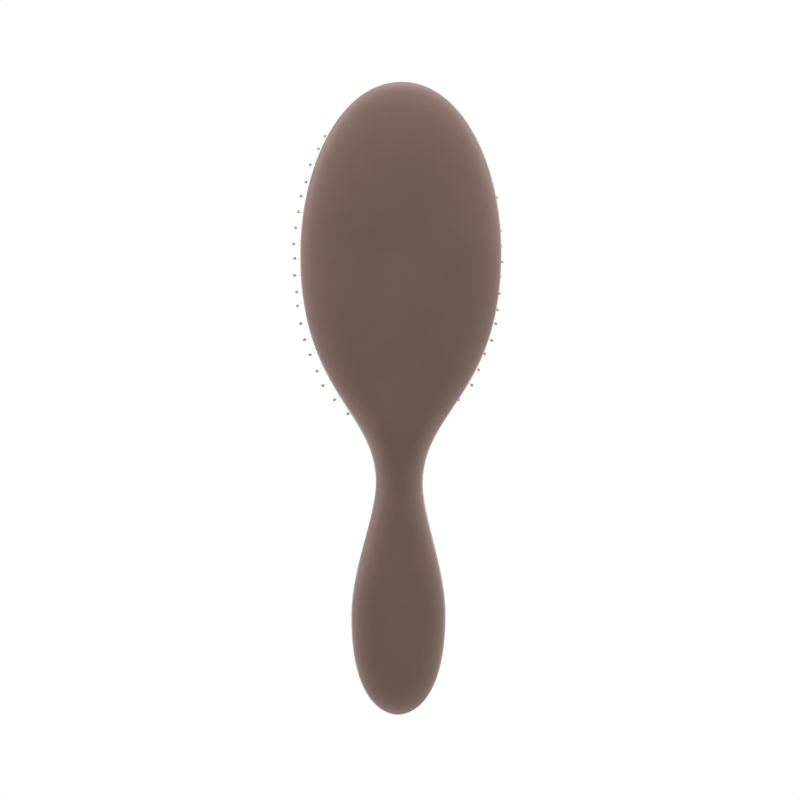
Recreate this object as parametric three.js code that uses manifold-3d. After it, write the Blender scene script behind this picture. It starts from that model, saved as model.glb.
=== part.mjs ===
// Oval cushion hair brush. Two moulded half shells make the head and the handle, a rubber pad is
// clamped in the head's window, and quills stand on the pad in concentric ovals. Each quill is a
// ball tipped nylon pin with boar strands beside it.
// Millimetres, +Z up. The brush lies on its back: the origin is the middle of the flat on the back
// of the head, +Y runs to the tip of the head, and the quills point up.

import * as THREE from "three";
import { mergeGeometries, mergeVertices } from "three/addons/utils/BufferGeometryUtils.js";
import Module from "manifold-3d";

const wasm = await Module();
wasm.setup();

// Plan outline: half widths, and distances along the brush from the widest place of the head
const HEAD_HALF_WIDTH = 35.3;
const HEAD_TIP = 60.5;
const WAIST_HALF_WIDTH = 8.2;
const WAIST_AT = 80.8;
const GRIP_HALF_WIDTH = 16.4;
const GRIP_AT = 127;
const GRIP_END = 161.5;

// Fullness of the outline's curves: the length of a curve handle against the span that it bends in
const TIP_BLUNTNESS = 0.59;
const TIP_SIDE_FULLNESS = 0.531;
const SHOULDER_FULLNESS = 0.613;
const WAIST_UPPER_FULLNESS = 0.313;
const WAIST_LOWER_FULLNESS = 0.261;
const GRIP_UPPER_FULLNESS = 0.365;
const GRIP_LOWER_FULLNESS = 0.956;
const GRIP_BLUNTNESS = 0.151;

// Side profile: depth of the back below the parting plane, and height of the front above the seam
const BACK_DEPTH = { head: 7.5, waist: 6.4, grip: 7.5 };
const FRONT_HEIGHT = { head: 5.2, waist: 6.8, grip: 9 };
const BACK_ROUNDNESS = { head: 2.4, waist: 2.2, grip: 2.2 };
const FRONT_ROUNDNESS = { head: 7, waist: 2.3, grip: 2.2 };
const BACK_FLAT = 0.27; // share of the half width that lies flat along the back
const FRONT_FLAT = 0;

// Shells
const WALL = 2.2;
const SEAM_GAP = 0.3;
const CLEARANCE = 0.3;
const TONGUE_WALL = 0.95;
const TONGUE_LENGTH = 1.2;

// Window of the head, and what is clamped under its lip
const RIM_WIDTH = 4.1;
const HEEL_SETBACK = 24.8; // from the waist to the heel end of the window
const LIP = 1.8;
const FLANGE_OVERLAP = 1.2;
const FLANGE = 1.4;
const CLAMP_WIDTH = 2.8;
const CLAMP = 1.4;
const CLAMP_RIB = 1.4;

// Rubber pad: a domed membrane with an oval rib under each ring of quills
const MEMBRANE = 1.4;
const PAD_RIB = 0.8;
const PAD_RIB_HALF_WIDTH = 1.5;
const PAD_EDGE_SINK = 0.4;
const PAD_RISE = 6;
const PAD_FULLNESS = 3;
const VENT_RADIUS = 1.2;

// Quills, in rings from the pad's edge to its middle
const RING_NAMES = ["edge_bristles", "outer_bristles", "inner_bristles", "centre_bristles"];
const EDGE_INSET = 3;
const EDGE_PITCH = 5.3;
const INNER_PITCH = 7.2;
const PIN_LENGTH = 21;
const PIN_ROOT_RADIUS = 0.5;
const PIN_NECK_RADIUS = 0.38;
const BALL_RADIUS = 0.78;
const HAIR_LENGTH = 13;
const HAIR_RADIUS = 0.22;
const HAIR_OFFSET = 0.85;
const HAIR_SPLAY = THREE.MathUtils.degToRad(5);
const HAIRS = 2;

// Facets
const TIP_STEPS = 9;
const SHOULDER_STEPS = 10;
const WAIST_STEPS = 5;
const GRIP_STEPS = 7;
const SECTION_STEPS = 12;
const OVAL_STEPS = 48;
const PAD_ROWS = [1, 0.72, 0.5, 0.32, 0.16]; // shares of the way from the pad's edge to its middle line
const ARC_STEPS = 720;
const PIN_SIDES = 4;
const HAIR_SIDES = 3;
const VENT_SIDES = 12;
const OVERCUT = 1; // how far a cutting solid runs past what it cuts
const MERGE_TOLERANCE = 1e-4;

// Heights and places that follow from the sizes above
const PARTING = BACK_DEPTH.head;
const FRONT_BASE = PARTING + SEAM_GAP;
const RIM_TOP = FRONT_BASE + FRONT_HEIGHT.head;
const LIP_BOTTOM = RIM_TOP - LIP;
const FLANGE_TOP = LIP_BOTTOM - CLEARANCE;
const FLANGE_BOTTOM = FLANGE_TOP - FLANGE;
const CLAMP_TOP = FLANGE_BOTTOM - CLEARANCE;
const CLAMP_BOTTOM = CLAMP_TOP - CLAMP;
const RIB_TOP = CLAMP_BOTTOM - CLEARANCE;
const PAD_EDGE = RIM_TOP - PAD_EDGE_SINK;
const WINDOW_HALF_WIDTH = HEAD_HALF_WIDTH - RIM_WIDTH;
const WINDOW_TIP = HEAD_TIP - RIM_WIDTH;
const WINDOW_HEEL = WAIST_AT - HEEL_SETBACK;
const SHOULDER_AT = WINDOW_HEEL + RIM_WIDTH;
const RING_SPACING = (WINDOW_HALF_WIDTH - EDGE_INSET) / RING_NAMES.length;
const MEMBRANE_DEPTH = PAD_RIB + CLEARANCE;
const ROOT_DEPTH = PAD_RIB / 2;

// Solids

// A geometry as a solid. Corners that coincide become one, faces that lose their area go, and a
// surface that was walked the other way round is turned to face outwards.
function solidOf(geometry) {
  const bare = new THREE.BufferGeometry();
  bare.setAttribute("position", geometry.getAttribute("position"));
  bare.setIndex(geometry.index);
  const merged = mergeVertices(bare, MERGE_TOLERANCE);
  const corners = merged.index.array;
  const faces = [];
  for (let i = 0; i < corners.length; i += 3) {
    const [a, b, c] = corners.slice(i, i + 3);
    if (a !== b && b !== c && c !== a) faces.push([a, b, c]);
  }
  const make = (list) =>
    new wasm.Manifold(
      new wasm.Mesh({
        numProp: 3,
        vertProperties: new Float32Array(merged.getAttribute("position").array),
        triVerts: new Uint32Array(list.flat()),
      }),
    );
  const solid = make(faces);
  return solid.volume() > 0 ? solid : make(faces.map(([a, b, c]) => [a, c, b]));
}

function geometryOf(solid) {
  const mesh = solid.getMesh();
  const geometry = new THREE.BufferGeometry();
  geometry.setAttribute("position", new THREE.BufferAttribute(mesh.vertProperties, 3));
  geometry.setIndex(new THREE.BufferAttribute(mesh.triVerts, 1));
  geometry.computeVertexNormals();
  return geometry;
}

// Rows of points, each row closed on itself, joined into one skin. With loop the last row joins
// the first; without it both end rows have shrunk to a point or a line.
function skin(rows, loop) {
  const count = rows[0].length;
  const index = [];
  rows.forEach((row, i) => {
    if (!loop && i === rows.length - 1) return;
    const here = i * count;
    const next = ((i + 1) % rows.length) * count;
    row.forEach((_, j) => {
      const k = (j + 1) % count;
      index.push(here + j, here + k, next + k, here + j, next + k, next + j);
    });
  });
  const geometry = new THREE.BufferGeometry().setFromPoints(rows.flat());
  geometry.setIndex(index);
  return geometry;
}

// Plan outline of the brush, right half, from the tip of the head to the end of the grip

const gripSpan = GRIP_END - GRIP_AT;
const waistSpan = GRIP_AT - WAIST_AT;
const bend = (...points) => new THREE.CubicBezierCurve(...points.map(([x, y]) => new THREE.Vector2(x, y)));

const OUTLINE = [
  {
    steps: TIP_STEPS,
    curve: bend(
      [0, HEAD_TIP],
      [HEAD_HALF_WIDTH * TIP_BLUNTNESS, HEAD_TIP],
      [HEAD_HALF_WIDTH, HEAD_TIP * TIP_SIDE_FULLNESS],
      [HEAD_HALF_WIDTH, 0],
    ),
    endShare: (y) => y / HEAD_TIP,
  },
  {
    steps: SHOULDER_STEPS,
    curve: bend(
      [HEAD_HALF_WIDTH, 0],
      [HEAD_HALF_WIDTH, -WAIST_AT * SHOULDER_FULLNESS],
      [WAIST_HALF_WIDTH, -WAIST_AT * (1 - WAIST_UPPER_FULLNESS)],
      [WAIST_HALF_WIDTH, -WAIST_AT],
    ),
    endShare: () => 0,
  },
  {
    steps: WAIST_STEPS,
    curve: bend(
      [WAIST_HALF_WIDTH, -WAIST_AT],
      [WAIST_HALF_WIDTH, -WAIST_AT - waistSpan * WAIST_LOWER_FULLNESS],
      [GRIP_HALF_WIDTH, -GRIP_AT + waistSpan * GRIP_UPPER_FULLNESS],
      [GRIP_HALF_WIDTH, -GRIP_AT],
    ),
    endShare: () => 0,
  },
  {
    steps: GRIP_STEPS,
    curve: bend(
      [GRIP_HALF_WIDTH, -GRIP_AT],
      [GRIP_HALF_WIDTH, -GRIP_AT - gripSpan * GRIP_LOWER_FULLNESS],
      [GRIP_HALF_WIDTH * GRIP_BLUNTNESS, -GRIP_END],
      [0, -GRIP_END],
    ),
    endShare: (y) => (-y - GRIP_AT) / gripSpan,
  },
];

// Stations along the outline moved in by inset: half width, place, and how near the rounded end is
function stations(inset) {
  const list = OUTLINE.flatMap(({ steps, curve, endShare }, part) => {
    const first = part === 0 ? 0 : 1;
    return Array.from({ length: steps + 1 - first }, (_, i) => {
      const t = (i + first) / steps;
      const point = curve.getPoint(t);
      const along = curve.getTangent(t);
      return {
        half: point.x + inset * along.y,
        y: point.y - inset * along.x,
        end: endShare(point.y),
        plan: point.y,
      };
    });
  });
  list[0].half = 0;
  list.at(-1).half = 0;
  return list;
}

// A size that changes smoothly from the head to the waist and on to the grip
function alongBody(size, y) {
  const toWaist = THREE.MathUtils.smoothstep(-y, SHOULDER_AT, WAIST_AT);
  const toGrip = THREE.MathUtils.smoothstep(-y, WAIST_AT, GRIP_AT);
  return size.head + (size.waist - size.head) * toWaist + (size.grip - size.waist) * toGrip;
}

// Half of the body, back or front, as a closed solid on its parting plane. Across each station the
// surface is a rounded dome, and inset makes the smaller solid that hollows it out.
function halfBody({ base, depth, roundness, flat, side, inset }) {
  const rows = stations(inset).map(({ half, y, end, plan }) => {
    const reach = alongBody(depth, plan) - inset;
    const power = alongBody(roundness, plan);
    const row = Array.from({ length: SECTION_STEPS + 1 }, (_, k) => {
      const across = -Math.cos((Math.PI * k) / SECTION_STEPS);
      const radius = Math.min(1, Math.hypot(end, across * Math.sqrt(1 - end * end)));
      const slope = Math.max(0, (radius - flat) / (1 - flat));
      const height = reach * (1 - slope ** power) ** (1 / power);
      return new THREE.Vector3(half * across, y, base + side * height);
    });
    if (inset > 0) {
      row.push(new THREE.Vector3(half, y, base - side * OVERCUT));
      row.push(new THREE.Vector3(-half, y, base - side * OVERCUT));
    }
    return row;
  });
  return solidOf(skin(rows, false));
}

// A wall that follows the whole outline between two insets
function outlineWall(outer, inner, bottom, top) {
  const loop = (inset) => {
    const left = stations(inset).map(({ half, y }) => new THREE.Vector2(-half, y));
    const right = left.slice(1, -1).reverse().map(({ x, y }) => new THREE.Vector2(-x, y));
    return [...left, ...right];
  };
  const shape = new THREE.Shape(loop(outer));
  shape.holes.push(new THREE.Path(loop(inner)));
  const wall = new THREE.ExtrudeGeometry(shape, { depth: top - bottom, bevelEnabled: false });
  return solidOf(wall.translate(0, 0, bottom));
}

// Oval family of the window: every oval is the window's edge moved in by an inset

function ovalPoint(angle, inset, z) {
  const halfLength = Math.sin(angle) > 0 ? WINDOW_TIP : WINDOW_HEEL;
  return new THREE.Vector3(
    (WINDOW_HALF_WIDTH - inset) * Math.cos(angle),
    (halfLength - inset) * Math.sin(angle),
    z,
  );
}

// A section of inset and height carried round the oval. An open section begins and ends at the
// oval's middle line, where both sides meet.
function ovalSweep(section, loop) {
  const rows = section.map(([inset, z]) =>
    Array.from({ length: OVAL_STEPS }, (_, j) => ovalPoint((2 * Math.PI * j) / OVAL_STEPS, inset, z)),
  );
  return solidOf(skin(rows, loop));
}

function ovalPrism(inset, bottom, top) {
  const middle = WINDOW_HALF_WIDTH;
  return ovalSweep([[middle, top], [inset, top], [inset, bottom], [middle, bottom]], false);
}

function ovalRing(outer, inner, bottom, top) {
  return ovalSweep([[outer, top], [outer, bottom], [inner, bottom], [inner, top]], true);
}

// Crown of the pad: it rises from its edge and lies level along the middle line

function crownSlope(inset) {
  const rest = 1 - inset / WINDOW_HALF_WIDTH;
  return Math.atan((PAD_RISE * PAD_FULLNESS * rest ** (PAD_FULLNESS - 1)) / WINDOW_HALF_WIDTH);
}

// The point of inset and height that lies under the crown's skin by a depth
function underCrown(inset, depth) {
  const rest = 1 - inset / WINDOW_HALF_WIDTH;
  const z = PAD_EDGE + PAD_RISE * (1 - rest ** PAD_FULLNESS);
  const slope = crownSlope(inset);
  return [inset + depth * Math.sin(slope), z - depth * Math.cos(slope)];
}

// A rib that lies just under the crown between two insets. One that reaches the middle line is a
// whole oval plate.
function crownRib(from, to) {
  const upper = [to, from].map((inset) => underCrown(inset, 0));
  const lower = [from, to].map((inset) => underCrown(inset, PAD_RIB));
  return ovalSweep([...upper, ...lower], to < WINDOW_HALF_WIDTH);
}

// Places of the quills

// Even places along the oval at an inset, the first half a pitch from the tip
function ringPlaces(inset, pitch) {
  const points = Array.from({ length: ARC_STEPS + 1 }, (_, i) =>
    ovalPoint(Math.PI / 2 + (2 * Math.PI * i) / ARC_STEPS, inset, underCrown(inset, 0)[1]),
  );
  const oval = new THREE.CurvePath();
  points.slice(1).forEach((point, i) => oval.add(new THREE.LineCurve3(points[i], point)));
  const count = 2 * Math.round(oval.getLength() / pitch / 2);
  const lean = crownSlope(inset);
  return Array.from({ length: count }, (_, i) => {
    const share = (i + 0.5) / count;
    const along = oval.getTangent(share);
    const out = new THREE.Vector3(along.y, -along.x, 0).normalize();
    const axis = out.multiplyScalar(Math.sin(lean)).add(new THREE.Vector3(0, 0, Math.cos(lean)));
    return { point: oval.getPoint(share), along, axis };
  });
}

// Even places along the pad's middle line
function linePlaces(pitch) {
  const top = WINDOW_TIP - WINDOW_HALF_WIDTH;
  const bottom = WINDOW_HALF_WIDTH - WINDOW_HEEL;
  const count = Math.round((top - bottom) / pitch) + 1;
  const z = underCrown(WINDOW_HALF_WIDTH, 0)[1];
  return Array.from({ length: count }, (_, i) => ({
    point: new THREE.Vector3(0, THREE.MathUtils.lerp(bottom, top, i / (count - 1)), z),
    along: new THREE.Vector3(0, 1, 0),
    axis: new THREE.Vector3(0, 0, 1),
  }));
}

// Each ring of quills with its rib. The last ring also takes the quills of the middle line, and its
// rib is a plate that reaches the line.
const RINGS = RING_NAMES.map((name, ring) => {
  const inset = EDGE_INSET + ring * RING_SPACING;
  const isLast = ring === RING_NAMES.length - 1;
  const places = ringPlaces(inset, ring === 0 ? EDGE_PITCH : INNER_PITCH);
  return {
    name,
    inset,
    places: isLast ? [...places, ...linePlaces(INNER_PITCH)] : places,
    from: inset - PAD_RIB_HALF_WIDTH,
    to: isLast ? WINDOW_HALF_WIDTH : inset + PAD_RIB_HALF_WIDTH,
  };
});

// A quill's own frame: Y along the pin from the pad's skin, X along the oval
function quillFrame({ point, along, axis }) {
  const third = new THREE.Vector3().crossVectors(along, axis);
  return new THREE.Matrix4().makeBasis(along, axis, third).setPosition(point);
}

// Copies of a shape, given in a quill's frame, at every place
function atPlaces(places, shape) {
  return solidOf(mergeGeometries(places.map((place) => shape.clone().applyMatrix4(quillFrame(place)))));
}

// Parts

function backShell() {
  const back = {
    base: PARTING,
    depth: BACK_DEPTH,
    roundness: BACK_ROUNDNESS,
    flat: BACK_FLAT,
    side: -1,
  };
  const outside = halfBody({ ...back, inset: 0 });
  const inside = halfBody({ ...back, inset: WALL });
  const rib = ovalRing(-FLANGE_OVERLAP, CLAMP_RIB - FLANGE_OVERLAP, 0, RIB_TOP).intersect(outside);
  const groove = outlineWall(
    WALL - TONGUE_WALL - CLEARANCE,
    WALL + CLEARANCE,
    PARTING - TONGUE_LENGTH - CLEARANCE,
    PARTING + OVERCUT,
  );
  return outside.subtract(inside).subtract(groove).add(rib);
}

function frontShell() {
  const front = {
    base: FRONT_BASE,
    depth: FRONT_HEIGHT,
    roundness: FRONT_ROUNDNESS,
    flat: FRONT_FLAT,
    side: 1,
  };
  const outside = halfBody({ ...front, inset: 0 });
  const inside = halfBody({ ...front, inset: WALL });
  const pocket = ovalPrism(-FLANGE_OVERLAP - CLEARANCE, FRONT_BASE - OVERCUT, LIP_BOTTOM);
  const window = ovalPrism(0, LIP_BOTTOM - OVERCUT, RIM_TOP + OVERCUT);
  const tongue = outlineWall(
    WALL - TONGUE_WALL,
    WALL,
    FRONT_BASE - SEAM_GAP - TONGUE_LENGTH,
    FRONT_BASE + TONGUE_LENGTH / 2,
  );
  return outside.subtract(inside).subtract(pocket).subtract(window).add(tongue);
}

function clampRing() {
  return ovalRing(-FLANGE_OVERLAP, CLAMP_WIDTH - FLANGE_OVERLAP, CLAMP_BOTTOM, CLAMP_TOP);
}

function rubberPad() {
  const insets = PAD_ROWS.map((share) => share * WINDOW_HALF_WIDTH);
  const crown = [...insets, CLEARANCE].map((inset) => underCrown(inset, MEMBRANE_DEPTH));
  const underside = [...insets, MEMBRANE].map((inset) => underCrown(inset, MEMBRANE_DEPTH + MEMBRANE));
  const pad = ovalSweep(
    [
      ...crown,
      [CLEARANCE, FLANGE_TOP],
      [-FLANGE_OVERLAP, FLANGE_TOP],
      [-FLANGE_OVERLAP, FLANGE_BOTTOM],
      [CLEARANCE + MEMBRANE, FLANGE_BOTTOM],
      ...underside.reverse(),
    ],
    false,
  );
  const ventInset = RINGS.at(-1).inset - RING_SPACING / 2;
  const vent = new THREE.CylinderGeometry(VENT_RADIUS, VENT_RADIUS, 2 * PAD_RISE, VENT_SIDES);
  vent.rotateX(Math.PI / 2).translate(0, ventInset - WINDOW_HEEL, underCrown(ventInset, 0)[1]);
  return pad.subtract(solidOf(vent));
}

function bristles({ places, from, to }) {
  const pin = new THREE.LatheGeometry(
    [
      new THREE.Vector2(0, -ROOT_DEPTH),
      new THREE.Vector2(PIN_ROOT_RADIUS, -ROOT_DEPTH),
      new THREE.Vector2(PIN_NECK_RADIUS, PIN_LENGTH - BALL_RADIUS),
      new THREE.Vector2(BALL_RADIUS, PIN_LENGTH),
      new THREE.Vector2(0, PIN_LENGTH + BALL_RADIUS),
    ],
    PIN_SIDES,
  );
  const whole = HAIR_LENGTH + ROOT_DEPTH;
  const strands = Array.from({ length: HAIRS }, (_, i) => {
    const hair = new THREE.ConeGeometry(HAIR_RADIUS, whole, HAIR_SIDES);
    hair.translate(0, whole / 2, 0).rotateZ(-HAIR_SPLAY).translate(HAIR_OFFSET, -ROOT_DEPTH, 0);
    return hair.rotateY((2 * Math.PI * i) / HAIRS);
  });
  return crownRib(from, to).add(atPlaces(places, pin)).add(atPlaces(places, mergeGeometries(strands)));
}

// Finishes
const softTouch = { color: 0x6a5750, roughness: 0.6, metalness: 0 };
const rubber = { color: 0x4c3f3a, roughness: 0.75, metalness: 0 };
const ringPlastic = { color: 0x2e2a28, roughness: 0.5, metalness: 0 };
const bristle = { color: 0x5a4638, roughness: 0.45, metalness: 0 };

const brush = new THREE.Group();

function place(name, solid, finish) {
  const mesh = new THREE.Mesh(geometryOf(solid), new THREE.MeshStandardMaterial(finish));
  mesh.name = name;
  brush.add(mesh);
}

place("back_shell", backShell(), softTouch);
place("front_shell", frontShell(), softTouch);
place("pad_clamp_ring", clampRing(), ringPlastic);
place("rubber_pad", rubberPad(), rubber);
RINGS.forEach((ring) => place(ring.name, bristles(ring), bristle));

export default brush;
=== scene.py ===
# %% [markdown]
# # An oval cushion brush that lies on its back
# The real brush is two moulded half shells with a soft, matte coating, a domed rubber pad that is
# clamped in the window of the head, and rings of quills on the pad. A quill is a ball tipped nylon
# pin in a tuft of boar hair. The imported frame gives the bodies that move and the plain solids; this
# lesson gives each of them its fine surface and its finish. Every length is in metres.

import math

import bmesh
import bpy
import numpy as np
from mathutils import Matrix, Vector


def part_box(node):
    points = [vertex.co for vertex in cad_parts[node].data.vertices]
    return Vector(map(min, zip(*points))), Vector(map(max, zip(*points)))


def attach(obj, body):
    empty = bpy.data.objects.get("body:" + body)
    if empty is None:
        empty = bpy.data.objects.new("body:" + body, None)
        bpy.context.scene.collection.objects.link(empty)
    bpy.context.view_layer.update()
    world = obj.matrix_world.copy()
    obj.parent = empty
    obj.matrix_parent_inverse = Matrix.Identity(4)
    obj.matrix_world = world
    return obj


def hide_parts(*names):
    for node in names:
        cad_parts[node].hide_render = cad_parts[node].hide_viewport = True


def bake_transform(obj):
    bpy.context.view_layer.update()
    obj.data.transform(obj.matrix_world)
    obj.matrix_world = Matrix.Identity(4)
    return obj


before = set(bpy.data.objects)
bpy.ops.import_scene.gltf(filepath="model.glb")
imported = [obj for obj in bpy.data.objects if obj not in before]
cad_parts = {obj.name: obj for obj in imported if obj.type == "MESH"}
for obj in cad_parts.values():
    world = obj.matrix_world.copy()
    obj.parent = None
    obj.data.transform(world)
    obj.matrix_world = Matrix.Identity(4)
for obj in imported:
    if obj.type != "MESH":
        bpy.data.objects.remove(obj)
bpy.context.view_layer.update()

# %% [markdown]
# ## Sizes
# The frame already knows the outer sizes, so they are read from the boxes of its solids. What a box
# can't tell, such as the waist or the fullness of a curve, is written here once, as a maker would
# note it on a drawing.

# %% Sizes of the body and of the pad
MM = 0.001
back_low, back_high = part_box("back_shell")
front_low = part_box("front_shell")[0]
clamp_low, clamp_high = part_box("pad_clamp_ring")

HEAD_HALF_WIDTH, HEAD_TIP, PARTING = back_high
GRIP_END = -back_low[1]
WAIST_HALF_WIDTH, WAIST_AT = 8.2 * MM, 80.8 * MM
GRIP_HALF_WIDTH, GRIP_AT = 16.4 * MM, 127 * MM
SEAM_GAP = 0.3 * MM
FRONT_BASE = PARTING + SEAM_GAP
RIM_HEIGHT = 5.2 * MM
RIM_TOP = FRONT_BASE + RIM_HEIGHT
FLANGE_OVERLAP = 1.2 * MM
WINDOW_HALF_WIDTH = clamp_high[0] - FLANGE_OVERLAP
WINDOW_TIP = clamp_high[1] - FLANGE_OVERLAP
WINDOW_HEEL = -clamp_low[1] - FLANGE_OVERLAP
PAD_EDGE = RIM_TOP - 0.4 * MM
PAD_RISE = 6 * MM
print("window:", WINDOW_HALF_WIDTH, WINDOW_TIP, WINDOW_HEEL, "rim top:", RIM_TOP)

# %% [markdown]
# ## From arrays to a mesh
# Each surface below is a grid: rows along one parameter, columns along the other. Numpy works out
# all the points at once, and index arithmetic gives the four corners of each face. Corners that
# fall on one place, as at a pole or where both sides of an oval meet, are welded afterwards.

# %% Grid helpers
WELD, SLIVER = 0.0001 * MM, 0.00001 * MM


def grid_faces(rows, columns, wrap_rows=False, wrap_columns=False):
    """Corner numbers of each face of a grid: (i, j), (i, j+1), (i+1, j+1), (i+1, j), with the last
    row or column joined to the first where it wraps."""
    i = np.arange(rows if wrap_rows else rows - 1)[:, None]
    j = np.arange(columns if wrap_columns else columns - 1)[None, :]
    next_i, next_j = (i + 1) % rows, (j + 1) % columns
    corners = (i * columns + j, i * columns + next_j, next_i * columns + next_j, next_i * columns + j)
    return np.stack([c.ravel() for c in corners], axis=1)


def make_piece(name, points, faces, values=None):
    """A mesh object from points (n, 3) and faces (m, 4), welded and smooth shaded, with one named
    number per point for each entry of values."""
    mesh = bpy.data.meshes.new(name)
    mesh.from_pydata(points.tolist(), [], faces.tolist())
    for label, numbers in (values or {}).items():
        layer = mesh.attributes.new(label, "FLOAT", "POINT")
        layer.data.foreach_set("value", np.asarray(numbers, np.float32))
    shape = bmesh.new()
    shape.from_mesh(mesh)
    bmesh.ops.remove_doubles(shape, verts=shape.verts, dist=WELD)
    bmesh.ops.dissolve_degenerate(shape, edges=shape.edges, dist=SLIVER)
    shape.to_mesh(mesh)
    shape.free()
    mesh.polygons.foreach_set("use_smooth", np.ones(len(mesh.polygons), bool))
    piece = bpy.data.objects.new(name, mesh)
    bpy.context.scene.collection.objects.link(piece)
    return piece


def dress(piece, body, slot, *nodes):
    """Rides the piece on its body and lets it stand for its solids, which are hidden; its slot, the name of
    its finish, is not used.
    """
    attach(piece, body)
    if nodes:
        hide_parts(*nodes)
    print(piece.name, "faces:", len(piece.data.polygons), "on", body)
    return piece


# %% [markdown]
# ## The outline
# Seen from above, the brush is an oval head, a slim waist and a drop shaped grip. On the drawing
# board that is four smooth curves end to end, so four cubic curves give it here too. The shares of
# each span say how far the handles of a curve reach. The brush is the same left and right, and one
# half is enough.


# %% Outline of the right half
def bend(a, b, c, d, steps=600):
    """A cubic curve: a(1-t)^3 + 3bt(1-t)^2 + 3ct^2(1-t) + dt^3, for t from 0 to 1."""
    t = np.linspace(0, 1, steps)[:, None]
    a, b, c, d = (np.array(p) for p in (a, b, c, d))
    return a * (1 - t) ** 3 + 3 * b * t * (1 - t) ** 2 + 3 * c * t**2 * (1 - t) + d * t**3


WAIST_SPAN, GRIP_SPAN = GRIP_AT - WAIST_AT, GRIP_END - GRIP_AT
H, W, G = HEAD_HALF_WIDTH, WAIST_HALF_WIDTH, GRIP_HALF_WIDTH
outline = np.concatenate(
    [
        bend((0, HEAD_TIP), (0.59 * H, HEAD_TIP), (H, 0.531 * HEAD_TIP), (H, 0)),
        bend((H, 0), (H, -0.613 * WAIST_AT), (W, -0.687 * WAIST_AT), (W, -WAIST_AT))[1:],
        bend(
            (W, -WAIST_AT),
            (W, -WAIST_AT - 0.261 * WAIST_SPAN),
            (G, -GRIP_AT + 0.365 * WAIST_SPAN),
            (G, -GRIP_AT),
        )[1:],
        bend(
            (G, -GRIP_AT),
            (G, -GRIP_AT - 0.956 * GRIP_SPAN),
            (0.151 * G, -GRIP_END),
            (0, -GRIP_END),
        )[1:],
    ]
)
course = np.gradient(outline, axis=0)
course /= np.linalg.norm(course, axis=1, keepdims=True)
course[0], course[-1] = (1, 0), (-1, 0)


def outline_at(y, inset=0.0):
    """Half width and place of the outline at each y, moved in along its normal by inset."""
    tracks = (outline[:, 0], course[:, 0], course[:, 1])
    half, along_x, along_y = (np.interp(-y, -outline[:, 1], track) for track in tracks)
    return np.maximum(half + inset * along_y, 0), y - inset * along_x


def smoothstep(x, low, high):
    """3t^2 - 2t^3, where t runs from 0 at low to 1 at high."""
    t = np.clip((x - low) / (high - low), 0, 1)
    return t * t * (3 - 2 * t)


SHOULDER_AT = WINDOW_HEEL + HEAD_HALF_WIDTH - WINDOW_HALF_WIDTH


def along_body(y, head, waist, grip):
    """A size that goes smoothly from its value at the head to the waist's and on to the grip's."""
    to_waist = smoothstep(-y, SHOULDER_AT, WAIST_AT)
    to_grip = smoothstep(-y, WAIST_AT, GRIP_AT)
    return head + (waist - head) * to_waist + (grip - waist) * to_grip


print("outline points:", len(outline), "waist:", 2 * outline_at(np.array([-WAIST_AT]))[0][0])

# %% [markdown]
# ## The two shells
# Each half shell is a rounded dome over the outline: across any station its height falls from the
# middle to the edge as (1 - r^p)^(1/p), where r is the share of the way to the edge and p sets how
# full the shoulder is. The back is softly domed and flat along its middle, while the front of the
# head is nearly a plate. Only the outer skin is worked out: Solidify gives it its wall. A tiny
# round along the parting edge makes the seam catch the light as a moulded joint does, and a small
# nub at the end of the grip is what is left of the gate, where the plastic came into the mould.

# %% Stations and the dome
SEAM_ROUND = 0.14 * MM
WALL = 1.8 * MM
stations = np.concatenate(
    [
        HEAD_TIP * np.cos(np.linspace(0, np.pi / 2, 61)),
        -np.linspace(0, GRIP_AT, 151)[1:],
        -GRIP_AT - GRIP_SPAN * np.sin(np.linspace(0, np.pi / 2, 51))[1:],
    ]
)


def end_share(y):
    """How near a station is to the rounded end that it belongs to: 0 along the body, 1 at an end."""
    return np.clip(np.where(y > 0, y / HEAD_TIP, (-y - GRIP_AT) / GRIP_SPAN), 0, 1)


def dome(across, y, reach, power, flat):
    """Height reach (1 - r^p)^(1/p), with r the way from the flat middle to the edge; towards a
    rounded end, r also counts the way to that end."""
    end = end_share(y)
    r = np.minimum(np.hypot(end, across * np.sqrt(1 - end**2)), 1)
    r = np.maximum((r - flat) / (1 - flat), 0)
    return reach * (1 - r**power) ** (1 / power)


def seam_edge(y, base, side):
    """Three columns along the parting edge, from the wall over a small round to the parting plane:
    the outline moved in by round (1 - cos a) at the height round (1 - sin a), for three angles a."""
    angle = np.radians([22, 50, 90])
    columns = []
    for a in angle:
        half, place = outline_at(y, SEAM_ROUND * (1 - np.cos(a)))
        z = base + side * SEAM_ROUND * (1 - np.sin(a))
        columns.append(np.stack([half, place, np.full_like(y, z)], axis=1))
    return np.stack(columns, axis=1)


def mirrored(columns):
    """The same columns on the left half, in reverse order, so that the grid runs on across."""
    return columns[:, ::-1] * np.array([-1, 1, 1])


print("stations:", len(stations))

# %% Back shell
# Each group of three sizes is for the head, the waist and the grip.
BACK_DEPTH = (7.5 * MM, 6.4 * MM, 7.5 * MM)
BACK_FULLNESS, BACK_FLAT = (2.4, 2.3, 3.0), (0.27, 0.0, 0.2)
across = np.sin(np.linspace(-np.pi / 2, np.pi / 2, 97))[None, :]
y = stations[:, None]
half = outline_at(stations)[0][:, None]
depth = along_body(y, *BACK_DEPTH) - SEAM_ROUND
height = dome(across, y, depth, along_body(y, *BACK_FULLNESS), along_body(y, *BACK_FLAT))
GATE_AT, GATE_RADIUS, GATE_HEIGHT = 1.5 * MM - GRIP_END, 0.55 * MM, 0.16 * MM
gate = GATE_HEIGHT * (1 - smoothstep(np.hypot(half * across, y - GATE_AT), 0.4 * GATE_RADIUS, GATE_RADIUS))
skin = np.stack([half * across, y + 0 * across, PARTING - SEAM_ROUND - height - gate], axis=2)
edge = seam_edge(stations, PARTING, -1)
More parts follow.
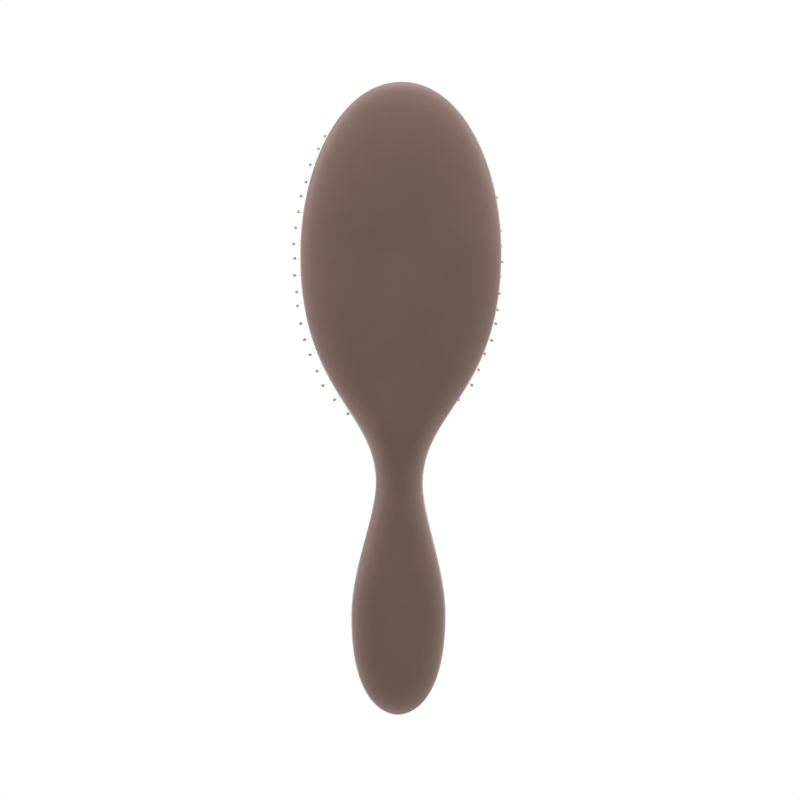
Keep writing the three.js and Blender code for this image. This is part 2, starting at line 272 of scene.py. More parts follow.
skin = np.concatenate([mirrored(edge), skin, edge], axis=1)
back_shell = make_piece("back_shell_skin", skin.reshape(-1, 3), grid_faces(*skin.shape[:2]))
wall = back_shell.modifiers.new("wall", "SOLIDIFY")
wall.thickness, wall.offset = WALL, -1
dress(back_shell, "housing", "soft_touch_shell", "back_shell")

# %% [markdown]
# The front skin has the oval window in it. Each half of the front is a grid between the window's
# edge and the outline; beyond the ends of the window the inner border is the middle line, and there
# the two halves are welded. A separate lip, swept round the oval, gives the window the rounded
# edge that a mould leaves, and hides where the skin ends. Inside the seam, a tongue that follows the
# outline closes the gap between the shells, as the one that locates the real halves does.

# %% Front shell with its window
LIP_WIDTH = 1.0 * MM
LIP_COVER = 0.6 * LIP_WIDTH
FRONT_RISE, FRONT_FULLNESS = (RIM_HEIGHT, 6.8 * MM, 9 * MM), (7, 2.3, 2.2)
cut_tip, cut_heel = WINDOW_TIP + LIP_COVER, WINDOW_HEEL + LIP_COVER
cut_half = WINDOW_HALF_WIDTH + LIP_COVER
turn = np.linspace(0, np.pi / 2, 73)
rows = np.unique(np.concatenate([stations, cut_tip * np.cos(turn), -cut_heel * np.cos(turn)]))[::-1]
y = rows[:, None]
half = outline_at(rows)[0][:, None]
window = cut_half * np.sqrt(np.maximum(1 - (y / np.where(y > 0, cut_tip, cut_heel)) ** 2, 0))
x = window + np.maximum(half - window, 0) * np.sin(np.linspace(0, np.pi / 2, 49))[None, :]
rise = along_body(y, *FRONT_RISE) - SEAM_ROUND
share = np.divide(x, half, out=np.zeros_like(x), where=half > 0)
height = dome(share, y, rise, along_body(y, *FRONT_FULLNESS), 0)
skin = np.stack([x, y + 0 * x, FRONT_BASE + SEAM_ROUND + height], axis=2)
right = np.concatenate([skin, seam_edge(rows, FRONT_BASE, 1)], axis=1)
left = mirrored(right)
count = right.shape[:2]
faces = np.concatenate([grid_faces(*count), grid_faces(*count) + left[..., 0].size])[:, ::-1]
points = np.concatenate([left.reshape(-1, 3), right.reshape(-1, 3)])
front_shell = make_piece("front_shell_skin", points, faces)
wall = front_shell.modifiers.new("wall", "SOLIDIFY")
wall.thickness, wall.offset = WALL, -1
dress(front_shell, "housing", "soft_touch_shell", "front_shell")


# %% Lip of the window and tongue of the seam
def oval(angle, inset):
    """The window's edge moved in by inset: ((a - inset) cos, (b - inset) sin), where b differs
    between the tip half and the heel half."""
    length = np.where(np.sin(angle) > 0, WINDOW_TIP, WINDOW_HEEL)
    x, y = (WINDOW_HALF_WIDTH - inset) * np.cos(angle), (length - inset) * np.sin(angle)
    return np.stack([x, y], axis=-1)


def oval_sweep(section, steps):
    """A section of (inset, height) points carried round the oval: one row for each point."""
    angle = 2 * np.pi * np.arange(steps) / steps
    inset, z = (np.asarray(v)[:, None] for v in zip(*section))
    flat = oval(angle[None, :], inset)
    return np.concatenate([flat, np.broadcast_to(z, flat.shape[:2])[..., None]], axis=2)


lean = np.radians(np.linspace(0, 90, 7))
top_round = np.stack([0.5 * np.sin(lean) - 0.5, 0.42 * np.cos(lean) - 0.3], axis=1) * LIP_WIDTH
section = [
    (-LIP_WIDTH, RIM_TOP - 1.2 * MM),
    (-LIP_WIDTH, RIM_TOP - 0.02 * MM),
    (-0.8 * LIP_WIDTH, RIM_TOP + 0.06 * MM),
    *(top_round + (0, RIM_TOP)),
    (0, RIM_TOP - WALL),
    (-0.4 * LIP_WIDTH, RIM_TOP - WALL),
]
ring = oval_sweep(section, 256)
lip = make_piece("window_lip", ring.reshape(-1, 3), grid_faces(*ring.shape[:2], True, True))
dress(lip, "housing", "soft_touch_shell", "front_shell")

TONGUE_OUT, TONGUE_IN = 1.25 * MM, 2.2 * MM
TONGUE_LOW, TONGUE_HIGH = front_low[2], 8.6 * MM
insets = (TONGUE_OUT, TONGUE_OUT, TONGUE_IN, TONGUE_IN)
heights = (TONGUE_LOW, TONGUE_HIGH, TONGUE_HIGH, TONGUE_LOW)
loops = []
for inset, z in zip(insets, heights):
    half, place = outline_at(stations, inset)
    right = np.stack([half, place, z + 0 * half], axis=1)
    loops.append(np.concatenate([right, (right * np.array([-1, 1, 1]))[-2:0:-1]]))
ring = np.stack(loops)
tongue = make_piece("seam_tongue", ring.reshape(-1, 3), grid_faces(*ring.shape[:2], True, True)[:, ::-1])
dress(tongue, "housing", "soft_touch_shell", "front_shell")

# %% [markdown]
# ## The rubber pad
# The pad is a moulded sheet of soft rubber: a flange that is clamped under the rim, and a dome that
# rises quickly from its edge and then lies level. Under each ring of quills it has a raised rib. The
# crown is z = edge + rise (1 - (1 - d/a)^3), where d is the way in from the edge. As it is one sheet,
# the same section goes down the edge, under the flange and back under the dome, and is carried
# round the oval as one closed surface. A dimple towards the heel is the vent for the air behind it.

# %% Crown, ribs and vent
RING_NAMES = ["edge", "outer", "inner", "centre"]
EDGE_INSET = 3 * MM
RING_SPACING = (WINDOW_HALF_WIDTH - EDGE_INSET) / len(RING_NAMES)
ring_insets = EDGE_INSET + RING_SPACING * np.arange(len(RING_NAMES))
RIB_HALF_WIDTH, RIB_HEIGHT, RIB_FLANK = 1.5 * MM, 0.8 * MM, 0.35 * MM
MEMBRANE = 1.4 * MM


def crown_slope(inset):
    """Slope angle of the crown: atan of its rise per inset, 3 rise (1 - d/a)^2 / a."""
    return np.arctan(3 * PAD_RISE * (1 - inset / WINDOW_HALF_WIDTH) ** 2 / WINDOW_HALF_WIDTH)


def under_crown(inset, depth):
    """Inset and height of the point that lies square under the crown's skin by a depth."""
    z = PAD_EDGE + PAD_RISE * (1 - (1 - inset / WINDOW_HALF_WIDTH) ** 3)
    slope = crown_slope(inset)
    return inset + depth * np.sin(slope), z - depth * np.cos(slope)


def rib_mask(inset):
    """1 on a rib and 0 between ribs, with soft flanks; the innermost rib is a whole plate."""
    away = np.abs(inset[:, None] - ring_insets[None, :]) - RIB_HALF_WIDTH
    away = np.minimum(away.min(axis=1), ring_insets[-1] - RIB_HALF_WIDTH - inset)
    return 1 - smoothstep(away, -RIB_FLANK, RIB_FLANK)


inset = np.concatenate([np.linspace(WINDOW_HALF_WIDTH, 1.2 * MM, 131), np.linspace(1.0, 0.3, 5) * MM])
top = np.stack(under_crown(inset, RIB_HEIGHT * (1 - rib_mask(inset))), axis=1)
under_inset = np.linspace(2.6 * MM, WINDOW_HALF_WIDTH, 14)
bottom = np.stack(under_crown(under_inset, RIB_HEIGHT + MEMBRANE), axis=1)
bottom[-1, 0] = WINDOW_HALF_WIDTH
FLANGE_TOP, FLANGE_BOTTOM = 10.9 * MM, 9.5 * MM
flange = [
    (0.3 * MM, FLANGE_TOP),
    (-FLANGE_OVERLAP, FLANGE_TOP),
    (-FLANGE_OVERLAP, FLANGE_BOTTOM),
    (1.7 * MM, FLANGE_BOTTOM),
]
pad_rows = oval_sweep(np.concatenate([top, flange, bottom]).tolist(), 320)
vent_at = np.array([0, ring_insets[-1] - RING_SPACING / 2 - WINDOW_HEEL])
vent_way = np.linalg.norm(pad_rows[: len(top), :, :2] - vent_at, axis=2)
VENT_DEPTH, VENT_IN, VENT_OUT = 1.1 * MM, 0.85 * MM, 1.25 * MM
pad_rows[: len(top), :, 2] -= VENT_DEPTH * (1 - smoothstep(vent_way, VENT_IN, VENT_OUT))
pad_faces = grid_faces(*pad_rows.shape[:2], False, True)[:, ::-1]
pad = make_piece("pad_cushion", pad_rows.reshape(-1, 3), pad_faces)
print("pad faces:", len(pad.data.polygons))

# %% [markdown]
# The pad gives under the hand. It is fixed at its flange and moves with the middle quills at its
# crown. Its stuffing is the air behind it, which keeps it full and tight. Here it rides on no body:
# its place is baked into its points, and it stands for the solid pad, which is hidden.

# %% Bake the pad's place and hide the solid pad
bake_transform(pad)
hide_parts("rubber_pad")
print("pad blended from", PAD_EDGE, "to", PAD_EDGE + PAD_RISE)

# %% [markdown]
# ## Quills
# The quills stand in rings at even steps along ovals that lie inside each other, square to the
# crown, so that the outer ones lean outwards. An oval's length has no simple formula, so it is
# walked in small steps and the places are read off the running length. Soft rubber never holds two
# pins quite alike, so each pin also leans off by a degree or two, from a fixed seed.

# %% Places of the quills
EDGE_PITCH, INNER_PITCH = 5.3 * MM, 7.2 * MM
LEAN_SCATTER = 0.018


def ring_places(inset, pitch):
    """Even places along an oval, half a step from the tip: point, direction along, pin axis."""
    angle = np.pi / 2 + np.linspace(0, 2 * np.pi, 2881)
    path = oval(angle, inset)
    length = np.concatenate([[0], np.cumsum(np.linalg.norm(np.diff(path, axis=0), axis=1))])
    count = 2 * round(length[-1] / pitch / 2)
    at = np.interp((np.arange(count) + 0.5) / count * length[-1], length, angle)
    flat = oval(at, inset)
    along = oval(at + 1e-4, inset) - oval(at - 1e-4, inset)
    along /= np.linalg.norm(along, axis=1, keepdims=True)
    slope, z = crown_slope(inset), under_crown(inset, 0)[1]
    level = np.zeros((count, 1))
    point = np.concatenate([flat, level + z], axis=1)
    outward = np.stack([along[:, 1], -along[:, 0]], axis=1)
    axis = np.concatenate([outward * np.sin(slope), level + np.cos(slope)], axis=1)
    return point, np.concatenate([along, level], axis=1), axis


def line_places(pitch):
    """Even places along the middle line of the crown, with upright pins."""
    low, high = WINDOW_HALF_WIDTH - WINDOW_HEEL, WINDOW_TIP - WINDOW_HALF_WIDTH
    count = round((high - low) / pitch) + 1
    point = np.zeros((count, 3))
    point[:, 1], point[:, 2] = np.linspace(low, high, count), PAD_EDGE + PAD_RISE
    return point, np.tile([0.0, 1, 0], (count, 1)), np.tile([0.0, 0, 1], (count, 1))


places = {}
for name, inset_at in zip(RING_NAMES, ring_insets):
    places[name] = ring_places(inset_at, EDGE_PITCH if name == "edge" else INNER_PITCH)
places["centre"] = tuple(np.concatenate(pair) for pair in zip(places["centre"], line_places(INNER_PITCH)))
scatter = np.random.default_rng(7)
for name, (point, along, axis) in places.items():
    sway = LEAN_SCATTER * scatter.standard_normal((2, len(point), 1)).clip(-2, 2)
    axis = axis + sway[0] * along + sway[1] * np.cross(along, axis)
    axis /= np.linalg.norm(axis, axis=1, keepdims=True)
    along = along - np.sum(along * axis, axis=1, keepdims=True) * axis
    places[name] = point, along / np.linalg.norm(along, axis=1, keepdims=True), axis
print("quills:", {name: len(p[0]) for name, p in places.items()})

# %% [markdown]
# ## Pins and their collars
# A pin is turned round its own axis: a shaft that tapers from root to neck and a ball at the end. The
# ball comes from dipping the end, so its coat also runs a little way down the shaft. A pin has few
# sides, because it is repeated more than a hundred times and smooth shading rounds it. A collar of
# rubber, turned the same way, holds each pin in the pad.


# %% Turned shapes on every place
def turned(place, profile, sides):
    """A profile of (radius, height) turned round each pin's axis: point + radius (along cos +
    third sin) + axis height, for all pins, profile points and sides at once."""
    point, along, axis = place
    third = np.cross(along, axis)
    radius, height = np.asarray(profile).T
    angle = 2 * np.pi * np.arange(sides) / sides
    around = along[:, None] * np.cos(angle)[:, None] + third[:, None] * np.sin(angle)[:, None]
    centre = point[:, None] + height[:, None] * axis[:, None]
    grid = centre[:, :, None] + radius[:, None, None] * around[:, None]
    face = grid_faces(len(radius), sides, False, True)[:, ::-1]
    faces = (face[None] + (np.arange(len(point)) * len(radius) * sides)[:, None, None]).reshape(-1, 4)
    return grid.reshape(-1, 3), faces


PIN_LENGTH, BALL, BALL_WIDTH = 21 * MM, 0.78 * MM, 0.55 * MM
COAT_START, COAT_RADIUS = PIN_LENGTH - 1.3 * MM, 0.37 * MM
ball_angle = np.radians(np.linspace(140, 0, 7))
ball = np.stack([BALL_WIDTH * np.sin(ball_angle), PIN_LENGTH + BALL * np.cos(ball_angle)], axis=1)
ball_profile = np.concatenate([[(0, COAT_START), (COAT_RADIUS, COAT_START)], ball])
ROOT, STEM, NECK = -0.5 * MM, 8 * MM, PIN_LENGTH - 0.6 * BALL
ROOT_RADIUS, STEM_RADIUS, NECK_RADIUS = 0.5 * MM, 0.42 * MM, 0.33 * MM
shaft_profile = [(0, ROOT), (ROOT_RADIUS, ROOT), (STEM_RADIUS, STEM), (NECK_RADIUS, NECK), (0, PIN_LENGTH)]
collar_profile = np.array([(0, -1), (1.5, -1), (1.4, 0.05), (1.15, 0.36), (0.85, 0.4), (0, 0.2)]) * MM
shafts, balls, collars = [], [], []
for name, place in places.items():
    for kind, profile, sides, slot, kept in (
        ("shafts", shaft_profile, 8, "nylon_pins", shafts),
        ("ball_tips", ball_profile, 8, "nylon_pins", balls),
        ("collars", collar_profile, 12, "pad_rubber", collars),
    ):
        piece = make_piece(f"{name}_{kind}", *turned(place, profile, sides))
        kept.append(dress(piece, f"{name}_quills", slot, f"{name}_bristles"))

# %% [markdown]
# ## Boar hair
# A tuft of boar hair stands round each pin and is shorter than it. A hair is a thin three sided
# strand that tapers to a point and bends a little outwards. Blender's own hair would not go into the
# exported part, so every strand is a small closed mesh. A fixed seed scatters them the same way
# each time, and two numbers stay on each point: which strand it is, and how far along.

# %% Tufts
HAIRS, HAIR_LENGTH, HAIR_RADIUS = 34, 13 * MM, 0.095 * MM
GOLDEN_TURN, TURN_SCATTER, LENGTH_SCATTER = 0.618, 0.3, 0.06
TUFT_IN, TUFT_WIDTH = 0.5, 0.55
SPREAD_LEAST, SPREAD_MORE, CURL, THINNING = 0.035, 0.05, 0.03, 0.65


def tufts(place):
    """Strands round each pin. A strand starts at a ring of the tuft and its centre line runs at
    height L t, drawn out by spread L t^1.5 plus a curl L t^2; its radius shrinks as 1 - thinning t^2
    and closes at both ends."""
    point, along, axis = (v[:, None] for v in place)
    third = np.cross(along, axis)
    size = (len(point), HAIRS)
    turn = 2 * np.pi * (np.arange(HAIRS)[None, :] * GOLDEN_TURN + scatter.random(size) * TURN_SCATTER)
    out = along * np.cos(turn)[..., None] + third * np.sin(turn)[..., None]
    root = (TUFT_IN + TUFT_WIDTH * np.sqrt(scatter.random(size)))[..., None] * MM
    length = (HAIR_LENGTH * (1 + LENGTH_SCATTER * scatter.standard_normal(size)))[..., None]
    spread = SPREAD_LEAST + SPREAD_MORE * scatter.random(size)[..., None]
    curl = CURL * scatter.standard_normal((*size, 1)) * np.cross(out, axis)
    t = np.array([0, 0.02, 0.36, 0.7, 0.97, 1])[:, None, None, None]
    line = point + out * (root + spread * length * t**1.5)
    line = line + axis * (length * t + ROOT) + curl * length * t**2
    radius = HAIR_RADIUS * (1 - THINNING * t**2) * np.array([0, 1, 1, 1, 1, 0])[:, None, None, None]
    side = 2 * np.pi * np.arange(3) / 3
    rim = along[..., None, :] * np.cos(side)[:, None] + third[..., None, :] * np.sin(side)[:, None]
    grid = np.moveaxis(line[..., None, :] + radius[..., None] * rim, 0, 2)
    strands = size[0] * HAIRS
    face = grid_faces(len(t), 3, False, True)[:, ::-1]
    faces = (face[None] + (np.arange(strands) * len(t) * 3)[:, None, None]).reshape(-1, 4)
    along_hair = np.broadcast_to(t.ravel()[None, :, None], (strands, len(t), 3))
    which = np.broadcast_to(scatter.random(strands)[:, None, None], along_hair.shape)
    return grid.reshape(-1, 3), faces, {"along": along_hair.ravel(), "strand": which.ravel()}


hair_pieces = []
for name, place in places.items():
    points, faces, values = tufts(place)
    tuft = make_piece(f"{name}_tufts", points, faces, values)
    hair_pieces.append(dress(tuft, f"{name}_quills", "boar_hair", f"{name}_bristles"))

# %% [markdown]
# ## Finishes
# All the finishes but the hair share an effect, so it is one node group with two results. Fine grain
# is the texture that a coating or a mould leaves, about a millimetre across or less. Clouding is a
# slow change of tone over a longer way, which keeps a plain surface from looking like paint on a
# screen.


# %% Shared effects
def new_group(name, inputs, outputs):
    """An empty node group with number and vector inputs, their defaults, and number outputs."""
    group = bpy.data.node_groups.new(name, "ShaderNodeTree")
    for label, kind, default in inputs:
        socket = group.interface.new_socket(label, in_out="INPUT", socket_type=kind)
        if default is not None:
            socket.default_value = default
    for label in outputs:
        group.interface.new_socket(label, in_out="OUTPUT", socket_type="NodeSocketFloat")
    return group, group.nodes.new("NodeGroupInput"), group.nodes.new("NodeGroupOutput")


def noise(tree, place, scale, detail, roughness=0.5):
    """A noise texture on a place; scale is a number or a socket."""
    node = tree.nodes.new("ShaderNodeTexNoise")
    node.inputs["Detail"].default_value = detail
    node.inputs["Roughness"].default_value = roughness
    tree.links.new(place, node.inputs["Vector"])
    if isinstance(scale, (int, float)):
        node.inputs["Scale"].default_value = scale
    else:
        tree.links.new(scale, node.inputs["Scale"])
    return node.outputs["Fac"]


surface, source, result = new_group(
    "grain_and_clouding",
    [
        ("Place", "NodeSocketVector", None),
        ("Grain Scale", "NodeSocketFloat", 3000.0),
        ("Cloud Scale", "NodeSocketFloat", 40.0),
    ],
    ["Grain", "Clouding"],
)
grain = noise(surface, source.outputs["Place"], source.outputs["Grain Scale"], 3)
cloud = noise(surface, source.outputs["Place"], source.outputs["Cloud Scale"], 4, 0.6)
surface.links.new(grain, result.inputs["Grain"])
surface.links.new(cloud, result.inputs["Clouding"])
print("group:", surface.name)


# %% Material helpers
def new_material(name, **sockets):
    """A material with one Principled shader, whose plain sockets are set by name."""
    material = bpy.data.materials.new(name)
    material.use_nodes = True
    tree = material.node_tree
    shader = tree.nodes["Principled BSDF"]
    for label, value in sockets.items():
        shader.inputs[label.replace("_", " ").title().replace("Ior", "IOR")].default_value = value
    return material, tree, shader


def add_surface(tree, grain_scale, cloud_scale):
    """The shared group on the object's own coordinates."""
    place = tree.nodes.new("ShaderNodeTexCoord")
    node = tree.nodes.new("ShaderNodeGroup")
    node.node_tree = surface
    tree.links.new(place.outputs["Object"], node.inputs["Place"])
    node.inputs["Grain Scale"].default_value = grain_scale
    node.inputs["Cloud Scale"].default_value = cloud_scale
    return node


def ramp(tree, value, stops):
    """A colour ramp over a value: stops of (place, linear colour)."""
    node = tree.nodes.new("ShaderNodeValToRGB")
    while len(node.color_ramp.elements) < len(stops):
        node.color_ramp.elements.new(0.5)
    for element, (at, colour) in zip(node.color_ramp.elements, stops):
        element.position, element.color = at, (*colour, 1)
    tree.links.new(value, node.inputs["Fac"])
    return node.outputs["Color"]


def spread_value(tree, value, low, high):
    """A value from 0..1 spread over low..high."""
    node = tree.nodes.new("ShaderNodeMapRange")
    node.inputs["To Min"].default_value, node.inputs["To Max"].default_value = low, high
    tree.links.new(value, node.inputs["Value"])
    return node.outputs["Result"]


def bump(tree, shader, height, strength, distance):
    """A bump of that height on the shader's normal."""
    node = tree.nodes.new("ShaderNodeBump")
    node.inputs["Strength"].default_value, node.inputs["Distance"].default_value = strength, distance
    tree.links.new(height, node.inputs["Height"])
    tree.links.new(node.outputs["Normal"], shader.inputs["Normal"])


print("material helpers ready")

# %% [markdown]
# ### Soft touch coating
# The shells are sprayed with a soft, rubbery lacquer in warm taupe. It has no mirror gloss: it
# scatters light at a shallow angle, so the edges of the brush glow like a peach. Sheen gives that
# glow, and a rough, weak reflection gives the rest.

# %% Soft touch coating
soft_touch, tree, shader = new_material(
    "soft_touch_taupe", sheen_weight=0.5, sheen_roughness=0.33, specular_ior_level=0.4
)
shader.inputs["Sheen Tint"].default_value = (1, 0.95, 0.92, 1)
texture = add_surface(tree, 3200, 38)
tones = [(0.3, (0.168, 0.105, 0.085)), (0.7, (0.188, 0.119, 0.096))]
colour = ramp(tree, texture.outputs["Clouding"], tones)
tree.links.new(colour, shader.inputs["Base Color"])
tree.links.new(spread_value(tree, texture.outputs["Clouding"], 0.5, 0.62), shader.inputs["Roughness"])
bump(tree, shader, texture.outputs["Grain"], 0.12, 0.03 * MM)
for piece in (back_shell, front_shell, lip, tongue):
    piece.data.materials.append(soft_touch)
print(soft_touch.name)

# %% [markdown]
# ### Rubber, nylon, hair and the ring inside
# The rubber is darker than the shells and has a faint bloom. The pins are clear nylon, which all but
# vanishes on white, and their ball tips are dipped in a matte taupe coat. Boar hair is dark brown at
# the root and paler at its worn tip, and no two strands have the same tone. The clamp ring, which
# nobody sees, is plain black moulded plastic.

# %% Rubber of the pad and its collars
rubber, tree, shader = new_material(
    "pad_rubber_brown", specular_ior_level=0.35, sheen_weight=0.2, sheen_roughness=0.5
)
texture = add_surface(tree, 2200, 60)
tones = [(0.3, (0.052, 0.034, 0.028)), (0.7, (0.066, 0.044, 0.037))]
colour = ramp(tree, texture.outputs["Clouding"], tones)
tree.links.new(colour, shader.inputs["Base Color"])
tree.links.new(spread_value(tree, texture.outputs["Clouding"], 0.55, 0.7), shader.inputs["Roughness"])
bump(tree, shader, texture.outputs["Grain"], 0.15, 0.04 * MM)
for piece in (pad, *collars):
    piece.data.materials.append(rubber)
print(rubber.name)

# %% Clear nylon and the coat of the tips
clear_nylon, tree, shader = new_material("clear_nylon", ior=1.53, transmission_weight=0.75)
texture = add_surface(tree, 900, 160)
colour = ramp(tree, texture.outputs["Clouding"], [(0.3, (0.88, 0.84, 0.8)), (0.7, (0.94, 0.92, 0.9))])
tree.links.new(colour, shader.inputs["Base Color"])
tree.links.new(spread_value(tree, texture.outputs["Clouding"], 0.22, 0.36), shader.inputs["Roughness"])
for piece in shafts:
    piece.data.materials.append(clear_nylon)

tip_coat, tree, shader = new_material("taupe_tip_coat", specular_ior_level=0.3)
texture = add_surface(tree, 900, 160)
colour = ramp(tree, texture.outputs["Clouding"], [(0.3, (0.31, 0.24, 0.205)), (0.7, (0.38, 0.305, 0.265))])
tree.links.new(colour, shader.inputs["Base Color"])
tree.links.new(spread_value(tree, texture.outputs["Clouding"], 0.5, 0.65), shader.inputs["Roughness"])
for piece in balls:
    piece.data.materials.append(tip_coat)
print(clear_nylon.name, tip_coat.name)


# %% Boar hair
def piece_value(tree, label):
    """The number that a piece carries on its points under that label."""
    node = tree.nodes.new("ShaderNodeAttribute")
    node.attribute_name = label
    return node.outputs["Fac"]


hair, tree, shader = new_material("boar_hair_brown", ior=1.55, specular_ior_level=0.5)
tones = [(0.0, (0.018, 0.010, 0.006)), (0.6, (0.045, 0.024, 0.014)), (1.0, (0.12, 0.07, 0.04))]
strand_tone = ramp(tree, piece_value(tree, "strand"), tones)
wear = [(0.0, (0.7, 0.7, 0.7)), (0.7, (1, 1, 1)), (1.0, (1.9, 1.75, 1.5))]
tip_tone = ramp(tree, piece_value(tree, "along"), wear)
mixed = tree.nodes.new("ShaderNodeMix")
mixed.data_type, mixed.blend_type = "RGBA", "MULTIPLY"
mixed.inputs["Factor"].default_value = 1
# The Mix node keeps sockets of one name for each kind of data; these numbers are its colour ones.
FIRST_COLOUR, SECOND_COLOUR, COLOUR_OUT = 6, 7, 2
tree.links.new(strand_tone, mixed.inputs[FIRST_COLOUR])
tree.links.new(tip_tone, mixed.inputs[SECOND_COLOUR])
tree.links.new(mixed.outputs[COLOUR_OUT], shader.inputs["Base Color"])
tree.links.new(spread_value(tree, piece_value(tree, "strand"), 0.32, 0.5), shader.inputs["Roughness"])
for piece in hair_pieces:
    piece.data.materials.append(hair)
print(hair.name)

# %% Ring inside the head
ring_plastic, tree, shader = new_material("ring_plastic_black", specular_ior_level=0.45)
texture = add_surface(tree, 1500, 80)
colour = ramp(tree, texture.outputs["Clouding"], [(0.3, (0.026, 0.022, 0.02)), (0.7, (0.034, 0.03, 0.028))])
tree.links.new(colour, shader.inputs["Base Color"])
tree.links.new(spread_value(tree, texture.outputs["Clouding"], 0.42, 0.55), shader.inputs["Roughness"])
bump(tree, shader, texture.outputs["Grain"], 0.1, 0.03 * MM)
clamp_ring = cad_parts["pad_clamp_ring"]
clamp_ring.data.materials.clear()
clamp_ring.data.materials.append(ring_plastic)
print(ring_plastic.name)

# %% [markdown]
# ## Studio
# The brush is photographed from its back in a white tent, so the camera looks up at it. The floor
# under the brush is pale from above and clear from below, and it throws no shade upwards, so that
# the same light serves the views from above and the view from below. The tent gives most of the
# light, and one soft box above brings out the pins. Four weak ones stand below the floor's level,
# beyond the tip, beside the head and beyond the grip, and brighten the rim of the back as the
# photograph shows it. No edge of theirs comes up through the floor, or they would light a strip of it.

# %% Floor
FLOOR_SIZE = 12
FLOOR_DROP = 0.2 * MM
FADE_FROM, FADE_TO = 0.35, 2.2
corner = FLOOR_SIZE / 2 * np.array([[-1, -1, 0], [1, -1, 0], [1, 1, 0], [-1, 1, 0]])
corner[:, 2] = -FLOOR_DROP
floor = make_piece("floor", corner, np.array([[0, 1, 2, 3]]))
floor.visible_diffuse = floor.visible_glossy = floor.visible_transmission = floor.visible_shadow = False
floor_paper, tree, shader = new_material("floor_paper", roughness=0.8, specular_ior_level=0.2)
texture = add_surface(tree, 400, 3)
colour = ramp(tree, texture.outputs["Clouding"], [(0.3, (0.66, 0.655, 0.645)), (0.7, (0.68, 0.675, 0.665))])
tree.links.new(colour, shader.inputs["Base Color"])
spread = tree.nodes.new("ShaderNodeVectorMath")
spread.operation = "LENGTH"
tree.links.new(tree.nodes["Texture Coordinate"].outputs["Object"], spread.inputs[0])
fade = tree.nodes.new("ShaderNodeMapRange")
fade.interpolation_type = "SMOOTHSTEP"
fade.inputs["From Min"].default_value, fade.inputs["From Max"].default_value = FADE_FROM, FADE_TO
fade.inputs["To Min"].default_value, fade.inputs["To Max"].default_value = 1, 0
tree.links.new(spread.outputs["Value"], fade.inputs["Value"])
tree.links.new(fade.outputs["Result"], shader.inputs["Alpha"])
clear = tree.nodes.new("ShaderNodeBsdfTransparent")
facing = tree.nodes.new("ShaderNodeNewGeometry")
either = tree.nodes.new("ShaderNodeMixShader")
tree.links.new(facing.outputs["Backfacing"], either.inputs["Fac"])
tree.links.new(shader.outputs["BSDF"], either.inputs[1])
tree.links.new(clear.outputs["BSDF"], either.inputs[2])
tree.links.new(either.outputs["Shader"], tree.nodes["Material Output"].inputs["Surface"])
floor.data.materials.append(floor_paper)
print("floor at", corner[0, 2])

# %% White tent and soft lights
TENT_GLOW = 2.24
world = bpy.data.worlds.new("white_tent")
bpy.context.scene.world = world
world.use_nodes = True
tree = world.node_tree
tent = tree.nodes["Background"]
look = tree.nodes.new("ShaderNodeTexCoord")
parts = tree.nodes.new("ShaderNodeSeparateXYZ")
tree.links.new(look.outputs["Generated"], parts.inputs["Vector"])
climb = tree.nodes.new("ShaderNodeMapRange")
climb.inputs["From Min"].default_value = -1
tree.links.new(parts.outputs["Z"], climb.inputs["Value"])
# The glow by height: 0 is straight down, 0.5 is level and 1 is straight up.
grey = [(0, 0.13), (0.2, 0.34), (0.35, 0.04), (0.45, 0.93), (0.55, 0.93), (0.7, 0.38), (1, 0.35)]
glow = ramp(tree, climb.outputs["Result"], [(at, (v, v, v)) for at, v in grey])
strength = tree.nodes.new("ShaderNodeMath")
strength.operation = "MULTIPLY"
strength.inputs[1].default_value = TENT_GLOW
tree.links.new(glow, strength.inputs[0])
white = tree.nodes.new("ShaderNodeBackground")
path = tree.nodes.new("ShaderNodeLightPath")
seen = tree.nodes.new("ShaderNodeMixShader")
white.inputs["Color"].default_value = tent.inputs["Color"].default_value = (1, 1, 1, 1)
tree.links.new(strength.outputs["Value"], tent.inputs["Strength"])
tree.links.new(path.outputs["Is Camera Ray"], seen.inputs["Fac"])
tree.links.new(tent.outputs["Background"], seen.inputs[1])
tree.links.new(white.outputs["Background"], seen.inputs[2])
tree.links.new(seen.outputs["Shader"], tree.nodes["World Output"].inputs["Surface"])


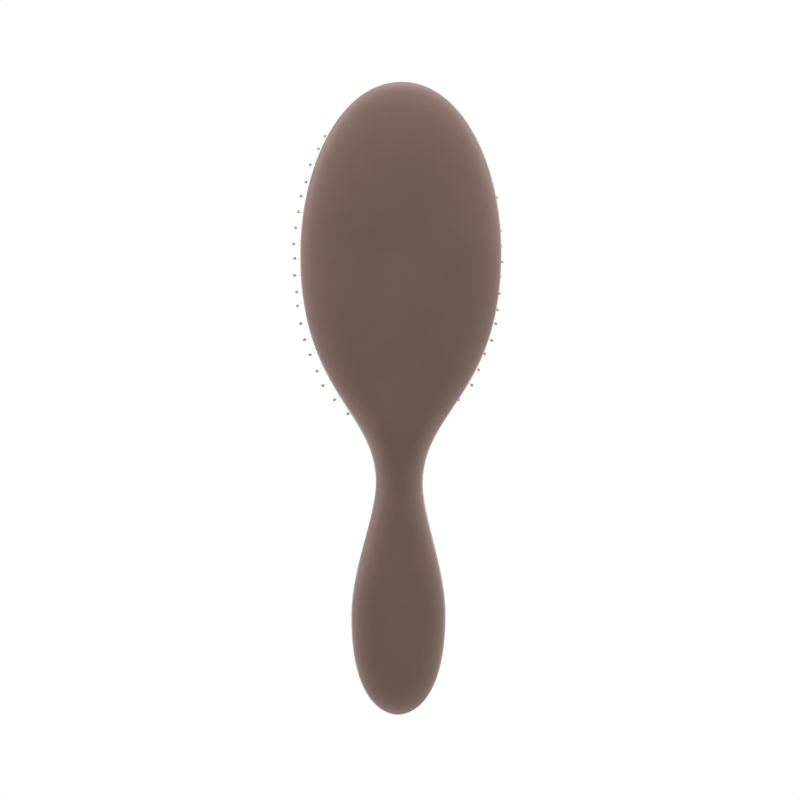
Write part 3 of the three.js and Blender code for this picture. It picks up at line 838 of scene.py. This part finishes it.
def soft_box(name, place, aim, width, height, power):
    """An area light at a place, turned to its aim, that the camera doesn't see."""
    light = bpy.data.lights.new(name, "AREA")
    light.shape, light.size, light.size_y, light.energy = "RECTANGLE", width, height, power
    holder = bpy.data.objects.new(name, light)
    holder.location = place
    holder.rotation_euler = (Vector(aim) - Vector(place)).to_track_quat("-Z", "Y").to_euler()
    holder.visible_camera = False
    bpy.context.scene.collection.objects.link(holder)


MIDDLE, HEAD, GRIP = (0, -0.05, 0.01), (0, 0.02, 0.006), (0, -0.15, 0.006)
soft_box("key_above", (-0.6, 0.3, 0.9), MIDDLE, 0.6, 0.6, 5)
BELOW = -0.06
soft_box("tip_box", (0, 0.5, BELOW), HEAD, 0.3, 0.1, 1.25)
soft_box("head_box_left", (0.38, 0.28, BELOW), HEAD, 0.3, 0.1, 1.25)
soft_box("head_box_right", (-0.38, 0.28, BELOW), HEAD, 0.3, 0.1, 1.2)
soft_box("grip_box", (0, -0.62, -0.13), GRIP, 0.2, 0.2, 0.6)
bpy.context.scene.view_settings.view_transform = "Standard"

# %% [markdown]
# ## Camera
# The photograph looks at the back almost straight on through a long lens, with the tip at the top.
# The camera stands under the brush, a little to its +X side and towards the grip, because the tips
# of the pins behind the head show on that side and at the heel, and it is rolled by less than half
# a degree, as the brush is.

# %% Camera at the photograph's place
FRAME_WIDTH, LENS_DISTANCE, SENSOR = 279.75 * MM, 1.32, 36 * MM
SIDE_STEP, DOWN_STEP, ROLL = math.radians(2.25), math.radians(4.4), math.radians(0.4)
aim = Vector((0, -51.8 * MM, PARTING))
toward = Vector((math.tan(SIDE_STEP), -math.tan(DOWN_STEP), -1)).normalized()
right_hand = Vector((0, 1, 0)).cross(toward).normalized()
up = toward.cross(right_hand)
sight = bpy.data.cameras.new("photo_camera")
sight.sensor_width = SENSOR / MM
sight.lens = SENSOR / MM * LENS_DISTANCE / FRAME_WIDTH
sight.clip_start, sight.clip_end = 0.05, 50
camera = bpy.data.objects.new("photo_camera", sight)
turn = Matrix((right_hand, up, toward)).transposed().to_4x4()
stand = Matrix.Translation(aim + toward * LENS_DISTANCE)
camera.matrix_world = stand @ turn @ Matrix.Rotation(ROLL, 4, "Z")
bpy.context.scene.collection.objects.link(camera)
bpy.context.scene.camera = camera
print("lens:", round(sight.lens, 1), "at", tuple(round(v, 3) for v in camera.location))
